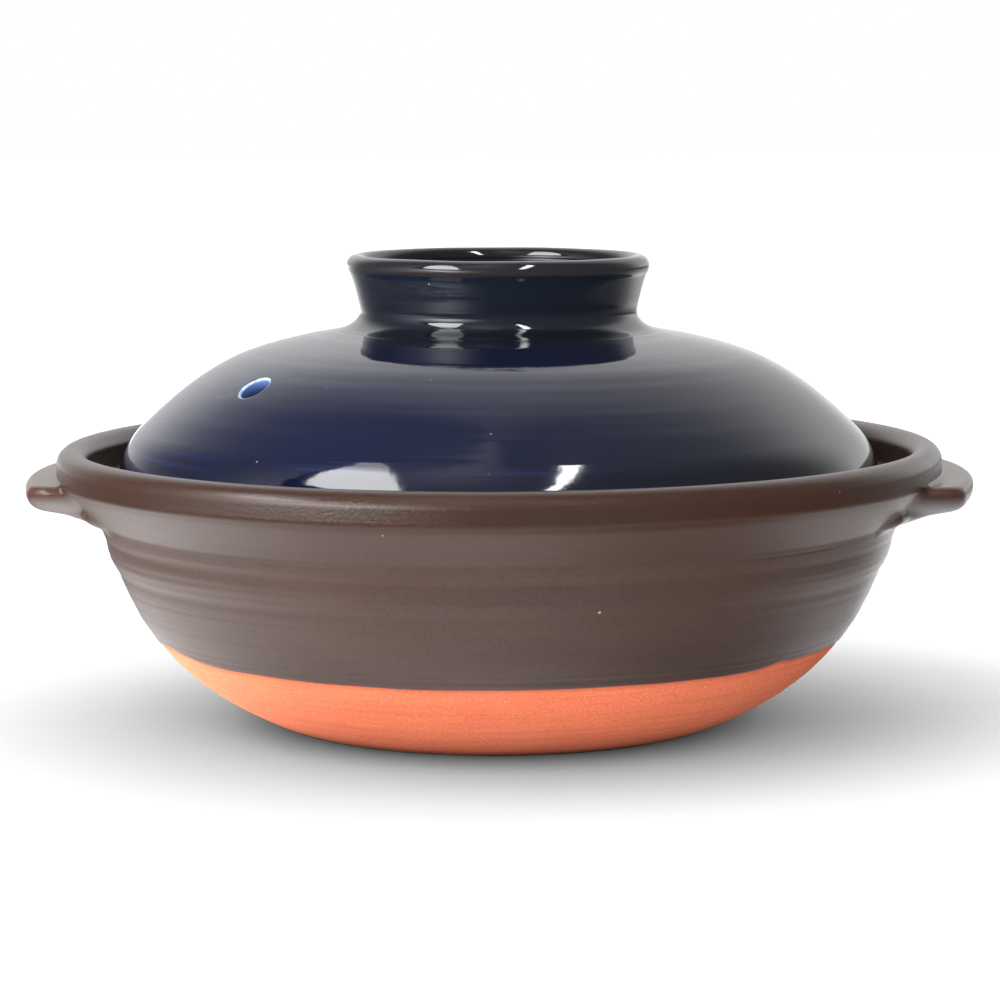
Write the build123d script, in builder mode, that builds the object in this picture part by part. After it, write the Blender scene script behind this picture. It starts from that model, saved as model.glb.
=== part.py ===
from build123d import *
import math
import os

os.makedirs("parts", exist_ok=True)

# Donabe clay pot: a stoneware bowl with two lug handles and a loose domed lid.
# Millimetres, +Z up. The origin is the centre of the flat base, on the surface
# that the pot stands on. The handles lie along X, and the front is -Y.
# Every turned profile below is written as (radius, height).

# ---------------------------------------------------------------- bowl
base_r = 66.0              # flat, unglazed disc that the pot stands on
rim_r = 135.0              # outside of the rolled lip
lip_t = 9.4                # lip thickness, a full half round on top
lip_top_z = 85.0
lip_low_z = 75.6           # where the upright face of the lip turns under
lip_low_fillet = 1.8
collar_r = 122.6           # crease between the wall and the flared collar
collar_z = 63.5
collar_top_r = 133.4       # the collar's cone meets the lip's lower edge
collar_top_z = 73.9
ledge_z = 70.6             # flat inner ledge that carries the lid
ledge_in_r = 112.6
ledge_fillet = 5.0
floor_z = 8.6              # inside floor

# ---------------------------------------------------------------- handles
lug_r = 145.0              # outer edge, concentric with the lip
lug_half_w = 44.0          # half of the width along Y
lug_top_z = 76.0
lug_low_z = 68.2           # underside at the outer edge
lug_root_z = 62.6          # underside at radius 118, under the collar's crease
lug_corner = 5.5           # plan corners
lug_top_edge = 2.6
lug_low_edge = 4.6

# ---------------------------------------------------------------- lid
seat_gap = 0.3             # between the lid's foot and the ledge
foot_z = ledge_z + seat_gap
foot_in_r = 112.4
foot_out_r = 117.7
foot_fillet = 1.8
land_z = 119.6             # flat top of the dome, under and inside the knob
land_r = 48.6
vent_r = 4.8
vent_azimuth = 220.6       # degrees from +X, on the front left of the dome
vent_pos_r = 89.6
vent_pos_z = 106.4
vent_tilt = 57.0           # elevation of the vent's axis, square to the dome

# ---------------------------------------------------------------- knob
knob_lip_r = 43.1          # centre of the rolled edge
knob_lip_z = 139.35
knob_lip_t = 3.16          # its radius
neck_r = 42.5
neck_z = 125.4
cup_floor_r = 31.5         # foot of the ring, inside the cup

lip_in_r = rim_r - lip_t
lip_c_z = lip_top_z - lip_t / 2


# ================================================================ bowl
outer_wall = [
    (73.2, 2.5), (80.7, 6.35), (88.3, 10.95), (95.6, 16.6), (102.2, 23.3),
    (107.2, 29.7), (111.2, 36.0), (114.9, 43.6), (118.2, 51.1), (120.7, 57.7),
]
inner_wall = [
    (108.9, 58.4), (105.3, 48.6), (100.2, 38.7), (93.6, 29.6), (85.0, 21.5),
    (74.2, 14.9), (61.0, 10.6),
]

with BuildPart() as pot_body:
    with BuildSketch(Plane.YZ):
        with BuildLine():
            Line((0, 0), (base_r, 0))
            Spline(
                (base_r, 0), *outer_wall, (collar_r, collar_z),
                tangents=((1.0, 0.16), (0.30, 1.0)),
            )
            # flared collar, the rounded lower edge of the lip, its upright face
            FilletPolyline(
                (collar_r, collar_z), (collar_top_r, collar_top_z),
                (rim_r, lip_low_z), (rim_r, lip_c_z),
                radius=lip_low_fillet,
            )
            # rolled lip
            ThreePointArc(
                (rim_r, lip_c_z), (rim_r - lip_t / 2, lip_top_z), (lip_in_r, lip_c_z)
            )
            # inner face of the lip, hollow corner and flat ledge for the lid
            FilletPolyline(
                (lip_in_r, lip_c_z), (lip_in_r, ledge_z), (ledge_in_r + 2.0, ledge_z),
                radius=ledge_fillet,
            )
            # rounded inner edge of the ledge
            TangentArc(
                (ledge_in_r + 2.0, ledge_z), (ledge_in_r - 0.7, ledge_z - 3.2),
                tangent=(-1, 0),
            )
            Spline(
                (ledge_in_r - 0.7, ledge_z - 3.2), *inner_wall, (44.0, floor_z),
                tangents=((-0.22, -1.0), (-1.0, 0.0)),
            )
            Line((44.0, floor_z), (0, floor_z))
            Line((0, floor_z), (0, 0))
        make_face()
    revolve(axis=Axis.Z)
pot_body.part.label = "pot_body"
export_step(pot_body.part, "parts/pot_body.step")


# ================================================================ handles
# Everything inside the bowl's outer surface: the lugs are cut back to it, so
# each one meets the collar and the lip face to face.
with BuildPart() as bowl_envelope:
    with BuildSketch(Plane.YZ):
        with BuildLine():
            Line((0, 0), (base_r, 0))
            Spline(
                (base_r, 0), *outer_wall, (collar_r, collar_z),
                tangents=((1.0, 0.16), (0.30, 1.0)),
            )
            FilletPolyline(
                (collar_r, collar_z), (collar_top_r, collar_top_z),
                (rim_r, lip_low_z), (rim_r, lip_c_z),
                radius=lip_low_fillet,
            )
            Polyline((rim_r, lip_c_z), (0, lip_c_z), (0, 0))
        make_face()
    revolve(axis=Axis.Z)

lug_half_angle = 24.0


def lug_start_plane(middle_deg):
    # upright plane through the Z axis, where the lug's section starts to turn
    a = math.radians(middle_deg - lug_half_angle)
    return Plane(
        origin=(0, 0, 0),
        x_dir=(math.cos(a), math.sin(a), 0),
        z_dir=(math.sin(a), -math.cos(a), 0),
    )


def lug(middle_deg):
    sign = 1 if middle_deg == 0 else -1
    with BuildPart() as blank:
        with BuildSketch(lug_start_plane(middle_deg)):
            with BuildLine():
                Polyline(
                    (118.0, lug_top_z), (lug_r, lug_top_z), (lug_r, lug_low_z),
                    (118.0, lug_root_z), (118.0, lug_top_z),
                )
            make_face()
        revolve(axis=Axis.Z, revolution_arc=2 * lug_half_angle)
        # plan of the lug: straight ends, rounded corners
        with BuildSketch(Plane.XY.offset(50)):
            with BuildLine():
                x_end = math.sqrt(lug_r ** 2 - lug_half_w ** 2)
                Polyline(
                    (sign * x_end, -lug_half_w), (sign * 100, -lug_half_w),
                    (sign * 100, lug_half_w), (sign * x_end, lug_half_w),
                )
                ThreePointArc(
                    (sign * x_end, lug_half_w), (sign * lug_r, 0),
                    (sign * x_end, -lug_half_w),
                )
            make_face()
            corners = [v for v in vertices() if abs(v.X) > 120]
            fillet(corners, radius=lug_corner)
        extrude(amount=40, mode=Mode.INTERSECT)
        top_loop = [
            e for e in edges().filter_by(Plane.XY)
            if e.center().Z > lug_top_z - 0.01 and abs(e.center().X) > 119
        ]
        low_loop = [
            e for e in edges()
            if max(v.Z for v in e.vertices()) < lug_top_z - 1
            and abs(e.center().X) > 119
            and e.bounding_box().min.Z > lug_root_z - 0.01
            and e.bounding_box().size.Z < 5.7
        ]
        fillet(top_loop, radius=lug_top_edge)
        low_loop = [
            e for e in edges()
            if e.bounding_box().max.Z < lug_low_z + 0.3
            and abs(e.center().X) > 119
        ]
        fillet(low_loop, radius=lug_low_edge)
        add(bowl_envelope.part, mode=Mode.SUBTRACT)
    return blank.part


right_handle = lug(0)
right_handle.label = "right_handle"
export_step(right_handle, "parts/right_handle.step")

left_handle = lug(180)
left_handle.label = "left_handle"
export_step(left_handle, "parts/left_handle.step")


# ================================================================ lid
dome_outer = [
    (116.2, 78.3), (114.3, 83.3), (112.5, 86.7), (109.6, 90.2), (105.6, 94.1),
    (98.2, 100.4), (88.1, 107.6), (75.2, 113.55), (62.0, 117.3),
]
dome_inner = [
    (105.6, 84.6), (98.0, 91.9), (89.0, 98.7), (78.0, 104.6), (64.0, 109.4),
]

with BuildPart() as lid_dome:
    with BuildSketch(Plane.YZ):
        with BuildLine():
            Line((0, land_z), (land_r, land_z))
            Spline(
                (land_r, land_z), *dome_outer[::-1], (foot_out_r, foot_z + foot_fillet),
                tangents=((1.0, -0.10), (0.22, -1.0)),
            )
            # rounded outside of the foot, then the flat that sits on the ledge
            ThreePointArc(
                (foot_out_r, foot_z + foot_fillet),
                (foot_out_r - 0.42 * foot_fillet, foot_z + 0.38 * foot_fillet),
                (foot_out_r - foot_fillet, foot_z),
            )
            Line((foot_out_r - foot_fillet, foot_z), (foot_in_r, foot_z))
            ThreePointArc(
                (foot_in_r, foot_z),
                (foot_in_r - 1.2, foot_z + 0.6),
                (foot_in_r - 1.8, foot_z + 1.9),
            )
            Spline(
                (foot_in_r - 1.8, foot_z + 1.9), *dome_inner, (40.0, 112.6),
                tangents=((-0.06, 1.0), (-1.0, 0.02)),
            )
            Line((40.0, 112.6), (0, 112.6))
            Line((0, 112.6), (0, land_z))
        make_face()
    revolve(axis=Axis.Z)
    # steam vent, drilled square to the dome
    az = math.radians(vent_azimuth)
    el = math.radians(vent_tilt)
    vent_plane = Plane(
        origin=(vent_pos_r * math.cos(az), vent_pos_r * math.sin(az), vent_pos_z),
        z_dir=(
            math.cos(el) * math.cos(az), math.cos(el) * math.sin(az), math.sin(el)
        ),
    )
    with BuildSketch(vent_plane):
        Circle(vent_r)
    extrude(amount=16, both=True, mode=Mode.SUBTRACT)
lid_dome.part.label = "lid_dome"
export_step(lid_dome.part, "parts/lid_dome.step")


# ================================================================ knob
# A hollow ring: flaring outside wall, rolled edge, and a cup inside it whose
# floor is the dome's flat top.
flare = math.radians(15.5)
with BuildPart() as lid_knob:
    with BuildSketch(Plane.YZ):
        with BuildLine():
            Line((cup_floor_r, land_z), (land_r, land_z))
            Line((land_r, land_z), (land_r, land_z + 0.2))
            # hollow fillet from the dome up to the neck
            Spline(
                (land_r, land_z + 0.2), (45.5, 120.95), (43.2, 122.9), (neck_r, neck_z),
                tangents=((-1.0, 0.14), (0.0, 1.0)),
            )
            Spline(
                (neck_r, neck_z),
                (43.55, 129.9),
                (knob_lip_r + knob_lip_t * math.cos(flare),
                 knob_lip_z - knob_lip_t * math.sin(flare)),
                tangents=((0.0, 1.0), (math.sin(flare), math.cos(flare))),
            )
            ThreePointArc(
                (knob_lip_r + knob_lip_t * math.cos(flare),
                 knob_lip_z - knob_lip_t * math.sin(flare)),
                (knob_lip_r, knob_lip_z + knob_lip_t),
                (knob_lip_r - knob_lip_t * math.cos(flare),
                 knob_lip_z - knob_lip_t * math.sin(flare)),
            )
            Spline(
                (knob_lip_r - knob_lip_t * math.cos(flare),
                 knob_lip_z - knob_lip_t * math.sin(flare)),
                (37.6, 130.4), (36.0, 124.6),
                (cup_floor_r, land_z + 0.3),
                tangents=((-math.sin(flare), -math.cos(flare)), (-1.0, -0.10)),
            )
            Line((cup_floor_r, land_z + 0.3), (cup_floor_r, land_z))
        make_face()
    revolve(axis=Axis.Z)
lid_knob.part.label = "lid_knob"
export_step(lid_knob.part, "parts/lid_knob.step")
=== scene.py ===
import math

import bpy
import numpy as np
from mathutils import Matrix, Vector


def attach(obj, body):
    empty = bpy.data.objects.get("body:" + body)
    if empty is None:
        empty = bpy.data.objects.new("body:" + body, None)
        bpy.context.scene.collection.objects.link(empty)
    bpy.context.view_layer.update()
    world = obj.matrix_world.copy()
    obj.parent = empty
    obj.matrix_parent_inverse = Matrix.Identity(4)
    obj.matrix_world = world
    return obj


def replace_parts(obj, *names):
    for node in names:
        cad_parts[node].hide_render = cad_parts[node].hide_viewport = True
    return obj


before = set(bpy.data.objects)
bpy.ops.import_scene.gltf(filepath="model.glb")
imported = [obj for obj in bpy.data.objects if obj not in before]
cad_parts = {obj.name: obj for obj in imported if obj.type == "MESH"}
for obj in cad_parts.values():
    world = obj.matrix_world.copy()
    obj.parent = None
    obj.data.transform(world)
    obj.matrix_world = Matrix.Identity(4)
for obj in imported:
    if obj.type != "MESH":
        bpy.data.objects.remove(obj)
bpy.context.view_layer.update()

# All profiles below are (radius, height) in millimetres, in the CAD's own frame.
# Meshes are made in millimetres and written in metres.

# ------------------------------------------------------------------ camera
YAW = math.radians(3.0)
PITCH = 0.12093
ROLL = -0.0052
DIST, HEIGHT = 1.0616, 0.1959
cam_data = bpy.data.cameras.new("camera")
cam_data.lens = 125.13
cam_data.sensor_width = 36.0
cam_data.clip_start, cam_data.clip_end = 0.05, 60.0
cam = bpy.data.objects.new("camera", cam_data)
bpy.context.scene.collection.objects.link(cam)
cam.matrix_world = (
    Matrix.Translation((DIST * math.sin(YAW) + 0.00024, -DIST * math.cos(YAW), HEIGHT))
    @ Matrix.Rotation(YAW, 4, "Z")
    @ Matrix.Rotation(math.pi / 2 - PITCH, 4, "X")
    @ Matrix.Rotation(ROLL, 4, "Z")
)
bpy.context.scene.camera = cam
bpy.context.scene.view_settings.view_transform = "Standard"
bpy.context.scene.view_settings.look = "None"


# ------------------------------------------------------------------ helpers
def smooth(a, b, x):
    t = np.clip((np.asarray(x, float) - a) / (b - a), 0.0, 1.0)
    return t * t * (3 - 2 * t)


def along(points, step):
    """The polyline points resampled about every step, ends kept."""
    p = np.asarray(points, float)
    s = np.r_[0, np.cumsum(np.hypot(*np.diff(p, axis=0).T))]
    n = max(1, int(round(s[-1] / step)))
    t = np.linspace(0, s[-1], n + 1)
    return np.c_[np.interp(t, s, p[:, 0]), np.interp(t, s, p[:, 1])]


def spline(points, step, first=None, last=None):
    """Centripetal Catmull-Rom curve through the points, with optional end directions."""
    p = [np.asarray(q, float) for q in points]

    def beyond(a, b, d):
        reach = np.linalg.norm(a - b)
        return a + (a - b) if d is None else a - np.asarray(d, float) / np.hypot(*d) * reach

    p = [beyond(p[0], p[1], first)] + p + [beyond(p[-1], p[-2], last and (-last[0], -last[1]))]
    out = []
    for a, b, c, d in zip(p, p[1:], p[2:], p[3:]):
        t0 = 0.0
        t1 = t0 + max(1e-6, np.linalg.norm(b - a)) ** 0.5
        t2 = t1 + max(1e-6, np.linalg.norm(c - b)) ** 0.5
        t3 = t2 + max(1e-6, np.linalg.norm(d - c)) ** 0.5
        t = np.linspace(t1, t2, 24, endpoint=False)[:, None]
        a1 = (t1 - t) / (t1 - t0) * a + (t - t0) / (t1 - t0) * b
        a2 = (t2 - t) / (t2 - t1) * b + (t - t1) / (t2 - t1) * c
        a3 = (t3 - t) / (t3 - t2) * c + (t - t2) / (t3 - t2) * d
        b1 = (t2 - t) / (t2 - t0) * a1 + (t - t0) / (t2 - t0) * a2
        b2 = (t3 - t) / (t3 - t1) * a2 + (t - t1) / (t3 - t1) * a3
        out.extend((t2 - t) / (t2 - t1) * b1 + (t - t1) / (t2 - t1) * b2)
    out.append(p[-2])
    return along(out, step)


def arc(centre, radius, a0, a1, step):
    n = max(2, int(abs(math.radians(a1 - a0)) * radius / step) + 1)
    t = np.radians(np.linspace(a0, a1, n + 1))
    return np.c_[centre[0] + radius * np.cos(t), centre[1] + radius * np.sin(t)]


def filleted(points, radii, step):
    """A polyline with its inner corners rounded, one radius for each."""
    p = [np.asarray(q, float) for q in points]
    out = [p[0]]
    for a, b, c, r in zip(p, p[1:], p[2:], radii):
        u, v = (a - b) / np.linalg.norm(a - b), (c - b) / np.linalg.norm(c - b)
        half = math.acos(np.clip(u @ v, -1, 1)) / 2
        reach = r / math.tan(half)
        s, e = b + u * reach, b + v * reach
        m = b + (u + v) / np.linalg.norm(u + v) * r / math.sin(half)
        a0 = math.degrees(math.atan2(*(s - m)[::-1]))
        a1 = math.degrees(math.atan2(*(e - m)[::-1]))
        a1 = a0 + (a1 - a0 + 180) % 360 - 180
        out.extend(arc(m, r, a0, a1, step / 3))
    out.append(p[-1])
    return along(out, step)


def joined(*parts):
    rows = [np.asarray(parts[0], float)]
    for q in parts[1:]:
        q = np.asarray(q, float)
        rows.append(q[1:] if np.linalg.norm(q[0] - rows[-1][-1]) < 1e-3 else q)
    return np.concatenate(rows)


def normals_2d(p):
    """Unit normals on the right of each row of a profile, (dz, -dr)."""
    t = np.gradient(p, axis=0)
    n = np.c_[t[:, 1], -t[:, 0]]
    return n / np.maximum(np.linalg.norm(n, axis=1), 1e-9)[:, None]


class Noise:
    """Smooth periodic noise round the pot: a few seeded waves."""

    def __init__(self, seed, waves=9, lowest=2, highest=24, k=0.2):
        rng = np.random.default_rng(seed)
        self.m = rng.integers(lowest, highest + 1, waves)
        self.k = rng.normal(0, k, waves)
        self.p = rng.uniform(0, 2 * math.pi, waves)
        self.a = rng.uniform(0.5, 1.0, waves) / np.sqrt(self.m)
        self.a /= np.sqrt((self.a ** 2).sum() / 2)

    def __call__(self, theta, s=0.0):
        total = 0.0
        for m, k, p, a in zip(self.m, self.k, self.p, self.a):
            total = total + a * np.sin(m * theta + k * s + p)
        return total


def mesh_object(name, verts_mm, faces, smooth_shade=True):
    mesh = bpy.data.meshes.new(name)
    verts = np.asarray(verts_mm, float) / 1000.0
    flat = [i for f in faces for i in f]
    sizes = np.array([len(f) for f in faces], np.int32)
    mesh.vertices.add(len(verts))
    mesh.vertices.foreach_set("co", verts.astype(np.float32).ravel())
    mesh.loops.add(len(flat))
    mesh.loops.foreach_set("vertex_index", np.array(flat, np.int32))
    mesh.polygons.add(len(faces))
    mesh.polygons.foreach_set("loop_start", np.r_[0, np.cumsum(sizes)[:-1]].astype(np.int32))
    mesh.polygons.foreach_set("loop_total", sizes)
    mesh.update(calc_edges=True)
    mesh.validate()
    if smooth_shade:
        mesh.polygons.foreach_set("use_smooth", np.ones(len(mesh.polygons), bool))
    obj = bpy.data.objects.new(name, mesh)
    bpy.context.scene.collection.objects.link(obj)
    return obj


def attribute(obj, name, values):
    a = obj.data.attributes.new(name, "FLOAT", "POINT")
    a.data.foreach_set("value", np.asarray(values, np.float32))


def edge_curvature(obj, passes=3):
    """How convex the surface is at each vertex, in 1/m: the glaze is thinnest there."""
    me = obj.data
    n = len(me.vertices)
    co = np.zeros(n * 3, np.float32); me.vertices.foreach_get("co", co); co = co.reshape(-1, 3)
    nv = np.zeros(n * 3, np.float32); me.vertices.foreach_get("normal", nv); nv = nv.reshape(-1, 3)
    e = np.zeros(len(me.edges) * 2, np.int32); me.edges.foreach_get("vertices", e); e = e.reshape(-1, 2)
    a, b = e[:, 0], e[:, 1]
    d = co[b] - co[a]
    l2 = np.maximum((d ** 2).sum(1), 1e-12)
    k = ((nv[b] - nv[a]) * d).sum(1) / l2
    best = np.zeros(n)
    np.maximum.at(best, a, k)
    np.maximum.at(best, b, k)
    w = np.bincount(a, minlength=n) + np.bincount(b, minlength=n)
    for _ in range(passes):
        s = np.bincount(a, best[b], n) + np.bincount(b, best[a], n)
        best = 0.5 * best + 0.5 * s / np.maximum(w, 1)
    return best


def ring_faces(rows, n, first=0):
    """Quads of a grid of rows x n vertices that closes round, for rows going up an outside wall."""
    out = []
    for i in range(rows - 1):
        a, b = first + i * n, first + (i + 1) * n
        for j in range(n):
            k = (j + 1) % n
            out.append((a + j, a + k, b + k, b + j))
    return out


def lathe(profile, n, phase=0.0, shape=None):
    """A closed solid of revolution. The profile starts and ends on the axis. shape(theta, rows) may
    return (r, z) arrays of rows x n that bend it. Returns vertices, faces and the angle of each column."""
    p = np.asarray(profile, float)
    theta = phase + np.arange(n) * 2 * math.pi / n
    inner = p[1:-1]
    if shape is None:
        r = np.repeat(inner[:, :1], n, 1)
        z = np.repeat(inner[:, 1:], n, 1)
    else:
        r, z = shape(theta, inner)
    x, y = r * np.cos(theta)[None], r * np.sin(theta)[None]
    verts = np.stack([x, y, z], -1).reshape(-1, 3)
    rows = len(inner)
    verts = np.concatenate([verts, [(0, 0, z[0].mean()), (0, 0, z[-1].mean())]])
    south, north = rows * n, rows * n + 1
    faces = ring_faces(rows, n)
    top = (rows - 1) * n
    for j in range(n):
        k = (j + 1) % n
        faces.append((south, k, j))
        faces.append((north, top + j, top + k))
    return verts, faces, theta


# ------------------------------------------------------------------ bowl
WALL = [
    (66.0, 0.0), (67.6, 0.45), (70.2, 1.35), (72.7, 2.3), (76.7, 4.2), (80.75, 6.35), (84.6, 8.6), (88.4, 11.0),
    (91.5, 13.3), (94.45, 15.57), (96.9, 17.75), (99.4, 20.17), (101.55, 22.4), (103.5, 24.7), (104.45, 25.95),
    (105.3, 26.95), (106.2, 28.25), (107.25, 29.6), (108.25, 30.9), (109.1, 32.1), (110.0, 33.6),
    (110.95, 35.2), (111.9, 37.2), (112.75, 38.9), (113.7, 40.8), (114.6, 42.8), (115.25, 44.4),
    (115.85, 45.7), (116.5, 47.4), (117.25, 48.9), (118.0, 50.1), (118.65, 51.4), (119.2, 52.75),
    (119.65, 54.1), (120.05, 55.6), (120.4, 57.4), (120.85, 58.9), (121.4, 60.3), (122.0, 61.9),
]
wall = spline(WALL, 0.46, first=(1.0, 0.16), last=(0.34, 1.0))
collar = filleted(
    [(122.0, 61.9), (122.55, 63.45), (133.35, 73.85), (135.0, 75.6), (135.0, 80.3)],
    [1.5, 3.0, 1.8], 0.42,
)
lip = arc((130.3, 80.3), 4.7, 0, 180, 0.46)
seat = filleted(
    [(125.6, 80.3), (125.6, 70.6), (112.6, 70.6), (111.9, 67.4)], [4.6, 1.6], 0.7
)
inside = spline(
    [(111.9, 67.4), (108.9, 58.4), (105.3, 48.6), (100.2, 38.7), (93.6, 29.6), (85.0, 21.5),
     (74.2, 14.9), (61.0, 10.6), (44.0, 8.6)],
    1.35, first=(-0.22, -1.0), last=(-1.0, 0.0),
)
under = along([(0, 0), (64.6, 0), (66.0, 0)], 3.4)
floor_in = along([(44.0, 8.6), (0, 8.6)], 3.4)
bowl_profile = joined(under, wall, collar, lip, seat, inside, floor_in)

s_bowl = np.r_[0, np.cumsum(np.hypot(*np.diff(bowl_profile, axis=0).T))]
outer_rows = len(joined(under, wall))            # rows of the base and the outside wall
line_row_z = 25.95
GLAZE_Z = line_row_z

line_noise = Noise(11, waves=10, lowest=3, highest=34)
ridge_noise = [Noise(40 + i, waves=6, lowest=1, highest=7) for i in range(3)]


def front(theta):
    """Angle from the front (-Y), in degrees, -180..180, positive towards +X."""
    return np.degrees((theta + math.pi / 2 + math.pi) % (2 * math.pi) - math.pi)


def glaze_line(theta):
    """Height of the glaze's lower edge round the pot, in mm."""
    a = front(theta)
    z = GLAZE_Z + 0.10 * line_noise(theta)
    side = smooth(44, 60, np.abs(a)) * (1 - 0.6 * smooth(120, 170, np.abs(a)))
    z = z + 1.25 * side
    z = z + 1.1 * np.exp(-((a - 53.0) / 2.6) ** 2)
    z = z + 1.0 * np.exp(-((a + 64.0) / 4.0) ** 2) - 0.5 * np.exp(-((a + 52.5) / 3.5) ** 2)
    return z


# Ridges that the potter's fingers left on the wall: (height, swell in mm, half width)
RIDGES = [
    (27.6, 0.15, 0.50), (29.2, 0.18, 0.50), (31.2, 0.03, 0.8), (33.4, 0.05, 0.9), (35.3, 0.03, 0.8),
    (37.7, 0.05, 0.9), (39.9, 0.04, 0.8), (41.9, 0.05, 0.9), (44.6, 0.09, 0.8), (46.2, 0.06, 0.7),
    (49.4, 0.10, 0.8), (52.0, 0.09, 0.9), (54.4, 0.05, 0.7), (56.1, -0.03, 0.6), (57.4, -0.07, 0.6),
    (59.3, 0.07, 0.8), (62.3, -0.22, 0.45), (63.6, 0.05, 0.6),
    (8.0, 0.04, 0.8), (11.2, 0.05, 0.8), (14.6, 0.04, 0.7), (18.2, 0.05, 0.9), (21.4, 0.04, 0.7),
]


def bowl_shape(theta, rows):
    # the real arc length of each row, so that rows near the glaze line can slide along the wall
    s_rows = s_bowl[1:-1]
    wall_end = outer_rows - 2
    nrm = normals_2d(rows)
    # arc length at which the wall reaches a height
    zs, ss = rows[: wall_end + 1, 1], s_rows[: wall_end + 1]
    keep = ss > 67
    def s_of_z(z):
        return np.interp(z, zs[keep], ss[keep])
    s0 = s_of_z(GLAZE_Z)
    i0 = int(np.argmin(np.abs(s_rows[: wall_end + 1] - s0)))
    shift = s_of_z(glaze_line(theta)) - s_rows[i0]               # per column
    w = np.exp(-((s_rows - s_rows[i0]) / 9.0) ** 4)
    w[wall_end + 1:] = 0
    s_new = s_rows[:, None] + w[:, None] * shift[None, :]
    full_s = s_rows
    r = np.interp(s_new, full_s, rows[:, 0])
    z = np.interp(s_new, full_s, rows[:, 1])
    nr = np.interp(s_new, full_s, nrm[:, 0])
    nz = np.interp(s_new, full_s, nrm[:, 1])
    out = np.zeros_like(r)
    on_wall = (np.arange(len(rows)) <= wall_end) & (s_rows > 68)
    for k, (h, a, b) in enumerate(RIDGES):
        q = ridge_noise[k % 3]
        wob = h + 0.28 * q(theta, 3.1 * k)[None, :] * (0.4 + 0.6 * (h > 24))
        amp = a * (1.0 + 0.30 * ridge_noise[(k + 1) % 3](theta, 1.7 * k))[None, :]
        out += amp * np.exp(-((z - wob) / b) ** 2) * on_wall[:, None]
    # thickness of the glaze above its line, with a slightly fuller bead at the edge
    dist = s_new - (s_rows[i0] + shift)[None, :]
    glazed = smooth(-0.05, 0.55, dist)
    bead = np.exp(-((dist - 0.9) / 0.8) ** 2)
    thick = (0.14 * glazed + 0.07 * bead) * on_wall[:, None]
    out += thick - 0.10 * on_wall[:, None] * smooth(22, 30, z)
    # a soft unevenness over the whole pot
    uneven = 0.05 * ridge_noise[0](theta)[None, :] * smooth(8, 60, z)
    r = r + nr * out + uneven * (s_rows[:, None] > 68) * (s_rows[:, None] < s_rows[-1] - 60)
    z = z + nz * out
    z = np.maximum(z, 0.0)
    bowl_shape.dist = dist
    bowl_shape.i0 = i0
    return r, z


N_BOWL = 236
verts, faces, theta = lathe(bowl_profile, N_BOWL, phase=-math.pi / 2, shape=bowl_shape)
bowl = mesh_object("bowl", verts, faces)
rows_n = len(bowl_profile) - 2
wall_end = outer_rows - 2
dist = np.full((rows_n, N_BOWL), 50.0)
dist[: wall_end + 1] = bowl_shape.dist[: wall_end + 1]
attribute(bowl, "glaze", np.r_[dist.ravel(), -60.0, 50.0])
inside_flag = np.zeros((rows_n, N_BOWL))
inside_flag[len(joined(under, wall, collar, lip)) - 2:] = 1.0
attribute(bowl, "inside", np.r_[inside_flag.ravel(), 0.0, 1.0])
attribute(bowl, "thin", edge_curvature(bowl))
attribute(bowl, "lug", np.zeros(len(bowl.data.vertices)))
print("bowl faces", len(bowl.data.polygons), "rows", rows_n)


# ------------------------------------------------------------------ handles
LUG_R, LUG_W, LUG_TOP, LUG_LOW, LUG_ROOT = 144.6, 44.0, 76.0, 68.2, 62.6


def round_and(a, b, r):
    m = np.maximum(a, b)
    u, v = np.maximum(a + r, 0), np.maximum(b + r, 0)
    return np.where((a > -r) & (b > -r), np.hypot(u, v) - r, m)


def round_or(a, b, r):
    m = np.minimum(a, b)
    u, v = np.maximum(r - a, 0), np.maximum(r - b, 0)
    return np.where((a < r) & (b < r), r - np.hypot(u, v), m)


env = joined(wall[len(wall) // 2:], collar, lip)
env_n = normals_2d(env)


def bowl_distance(r, z):
    """Signed distance to the outside of the bowl, near the collar."""
    q = np.stack([np.ravel(r), np.ravel(z)], 1)
    out = np.empty(len(q))
    for i in range(0, len(q), 20000):
        d = q[i:i + 20000, None, :] - env[None, :, :]
        j = (d ** 2).sum(-1).argmin(1)
        j0 = np.clip(j, 1, len(env) - 2)
        best = None
        for a in (j0 - 1, j0):
            p0, p1 = env[a], env[a + 1]
            e = p1 - p0
            t = np.clip(((q[i:i + 20000] - p0) * e).sum(1) / (e ** 2).sum(1), 0, 1)
            f = q[i:i + 20000] - (p0 + t[:, None] * e)
            dd = np.hypot(f[:, 0], f[:, 1])
            sg = np.sign(f[:, 0] * e[:, 1] - f[:, 1] * e[:, 0])
            best = (dd, sg) if best is None else (
                np.minimum(best[0], dd), np.where(dd < best[0], sg, best[1])
            )
        out[i:i + 20000] = best[0] * np.where(best[1] == 0, 1, best[1])
    return out.reshape(np.shape(r))


GR = np.linspace(108.0, 150.0, 421)
GZ = np.linspace(55.0, 88.0, 331)
GD = bowl_distance(*np.meshgrid(GR, GZ, indexing="ij"))


def bowl_distance_quick(r, z):
    u = np.clip((r - GR[0]) / (GR[1] - GR[0]), 0, len(GR) - 1.001)
    v = np.clip((z - GZ[0]) / (GZ[1] - GZ[0]), 0, len(GZ) - 1.001)
    i, j = u.astype(int), v.astype(int)
    u, v = u - i, v - j
    return (GD[i, j] * (1 - u) + GD[i + 1, j] * u) * (1 - v) + (GD[i, j + 1] * (1 - u) + GD[i + 1, j + 1] * u) * v


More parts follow.
